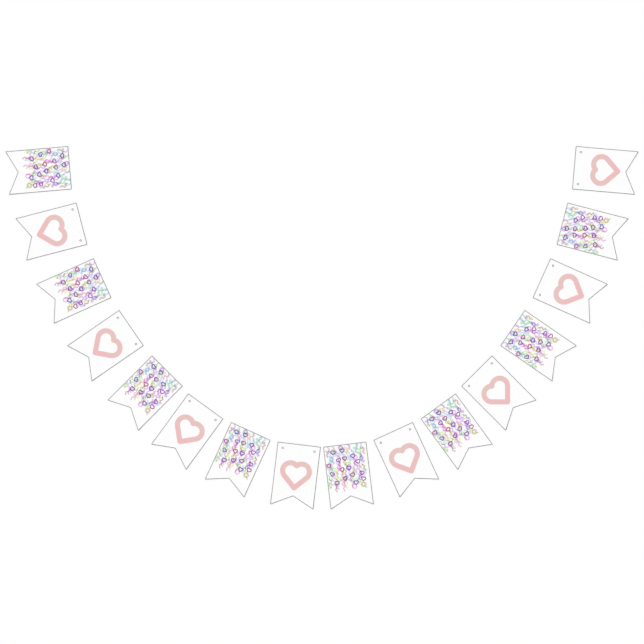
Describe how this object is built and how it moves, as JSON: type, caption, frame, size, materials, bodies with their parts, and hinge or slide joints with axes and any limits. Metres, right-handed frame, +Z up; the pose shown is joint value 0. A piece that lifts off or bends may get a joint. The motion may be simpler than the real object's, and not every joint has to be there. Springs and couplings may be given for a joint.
{
  "type": "cloth flag bunting",
  "caption": "Swallow-tail cloth bunting flags laid flat in a U-shaped swag, each with cord holes in its top strip and a pink outlined heart or a pastel confetti print.",
  "frame": {"origin": "on the surface that the flags lie on, under the middle of the whole layout", "axes": "+X across the swag, towards its right end as the prints are read; +Y from the lowest flags towards the open ends; +Z up out of the printed faces"},
  "size_m": [2.0692, 1.1864, 0.0012],
  "materials": {
    "confetti_cloth": "matt white woven cloth with a small print in pastel colours and purple",
    "heart_cloth": "matt white woven cloth with one pink outlined heart printed on it",
    "edge_thread": "matt grey sewing thread, overlocked along every edge"
  },
  "bodies": {
    "root": {"flag_01_heading": "confetti_cloth", "flag_01_panel": "confetti_cloth", "flag_02_heading": "heart_cloth", "flag_02_panel": "heart_cloth", "flag_03_heading": "confetti_cloth", "flag_03_panel": "confetti_cloth", "flag_04_heading": "heart_cloth", "flag_04_panel": "heart_cloth", "flag_05_heading": "confetti_cloth", "flag_05_panel": "confetti_cloth", "flag_06_heading": "heart_cloth", "flag_06_panel": "heart_cloth", "flag_07_heading": "confetti_cloth", "flag_07_panel": "confetti_cloth", "flag_08_heading": "heart_cloth", "flag_08_panel": "heart_cloth", "flag_09_heading": "confetti_cloth", "flag_09_panel": "confetti_cloth", "flag_10_heading": "heart_cloth", "flag_10_panel": "heart_cloth", "flag_11_heading": "confetti_cloth", "flag_11_panel": "confetti_cloth", "flag_12_heading": "heart_cloth", "flag_12_panel": "heart_cloth", "flag_13_heading": "confetti_cloth", "flag_13_panel": "confetti_cloth", "flag_14_heading": "heart_cloth", "flag_14_panel": "heart_cloth", "flag_15_heading": "confetti_cloth", "flag_15_panel": "confetti_cloth", "flag_16_heading": "heart_cloth", "flag_16_panel": "heart_cloth"}
  },
  "joints": []
}
